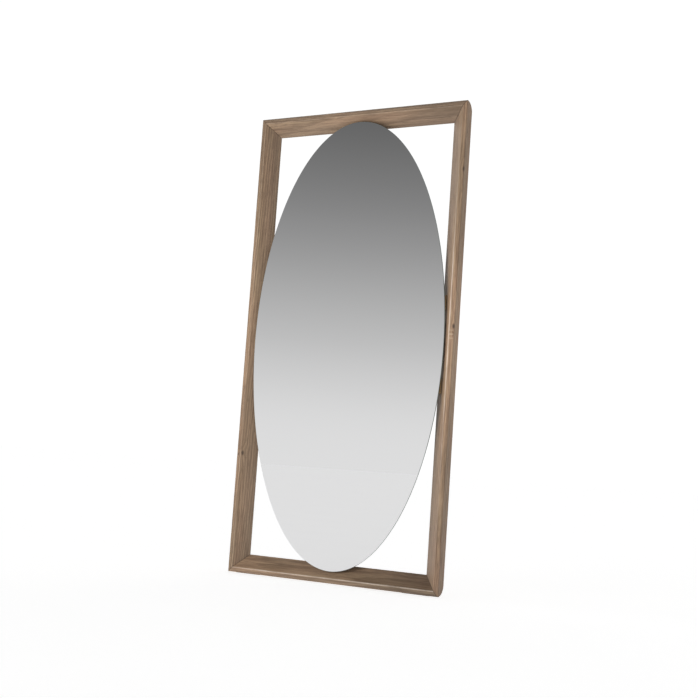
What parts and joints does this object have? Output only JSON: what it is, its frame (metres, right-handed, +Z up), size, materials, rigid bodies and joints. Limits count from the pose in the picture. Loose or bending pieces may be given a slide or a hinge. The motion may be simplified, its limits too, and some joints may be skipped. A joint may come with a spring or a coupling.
{
  "type": "leaning floor mirror",
  "caption": "Tall rectangular wooden frame with splayed inner faces holding a frameless oval mirror; leans on a wall, with swinging D-rings behind.",
  "frame": {"origin": "bottom centre of the whole object: middle of its width, middle of its depth with the bumpers, at the underside of the floor pads", "axes": "+Z up the frame, +X to the right of someone looking into the mirror, +Y to the back; the glass faces -Y"},
  "size_m": [1, 0.056, 2.001],
  "materials": {
    "frame_wood": "grey-brown stained, brushed open grain, matt",
    "mirror": "silvered glass, polished edge",
    "plywood": "raw birch plywood",
    "foam_tape": "foam",
    "fibreboard": "black-faced fibreboard",
    "batten_wood": "planed softwood",
    "zinc_plate": "zinc plated, satin",
    "screw_steel": "zinc plated, yellow passivated",
    "ring_steel": "bright zinc",
    "bumper_rubber": "matt rubber",
    "pad_rubber": "ribbed rubber"
  },
  "bodies": {
    "frame": {"left_stile": "frame_wood", "right_stile": "frame_wood", "top_rail": "frame_wood", "bottom_rail": "frame_wood", "mitre_keys": "plywood", "mirror_glass": "mirror", "mirror_tape": "foam_tape", "backing_panel": "fibreboard", "upper_batten": "batten_wood", "lower_batten": "batten_wood", "top_block": "batten_wood", "bottom_block": "batten_wood", "top_tie_plate": "zinc_plate", "bottom_tie_plate": "zinc_plate", "corner_brace_top_left": "zinc_plate", "corner_brace_top_right": "zinc_plate", "corner_brace_bottom_left": "zinc_plate", "corner_brace_bottom_right": "zinc_plate", "corner_brace_screws": "screw_steel", "batten_screws": "screw_steel", "panel_screws": "screw_steel", "tie_plate_screws": "screw_steel", "hanger_screws": "screw_steel", "hanger_strap_left": "zinc_plate", "hanger_strap_right": "zinc_plate", "wall_bumper_left": "bumper_rubber", "wall_bumper_right": "bumper_rubber", "floor_pad_left": "pad_rubber", "floor_pad_right": "pad_rubber"},
    "ring_left": {"hanger_ring_left": "ring_steel"},
    "ring_right": {"hanger_ring_right": "ring_steel"}
  },
  "joints": [
    {"name": "ring_left_swing", "type": "hinge", "parent": "frame", "child": "ring_left", "pos_m": [-0.462, 0.02475, 1.601], "axis": [1, 0, 0], "range_deg": [-2, 170]},
    {"name": "ring_right_swing", "type": "hinge", "parent": "frame", "child": "ring_right", "pos_m": [0.462, 0.02475, 1.601], "axis": [1, 0, 0], "range_deg": [-2, 170]}
  ]
}
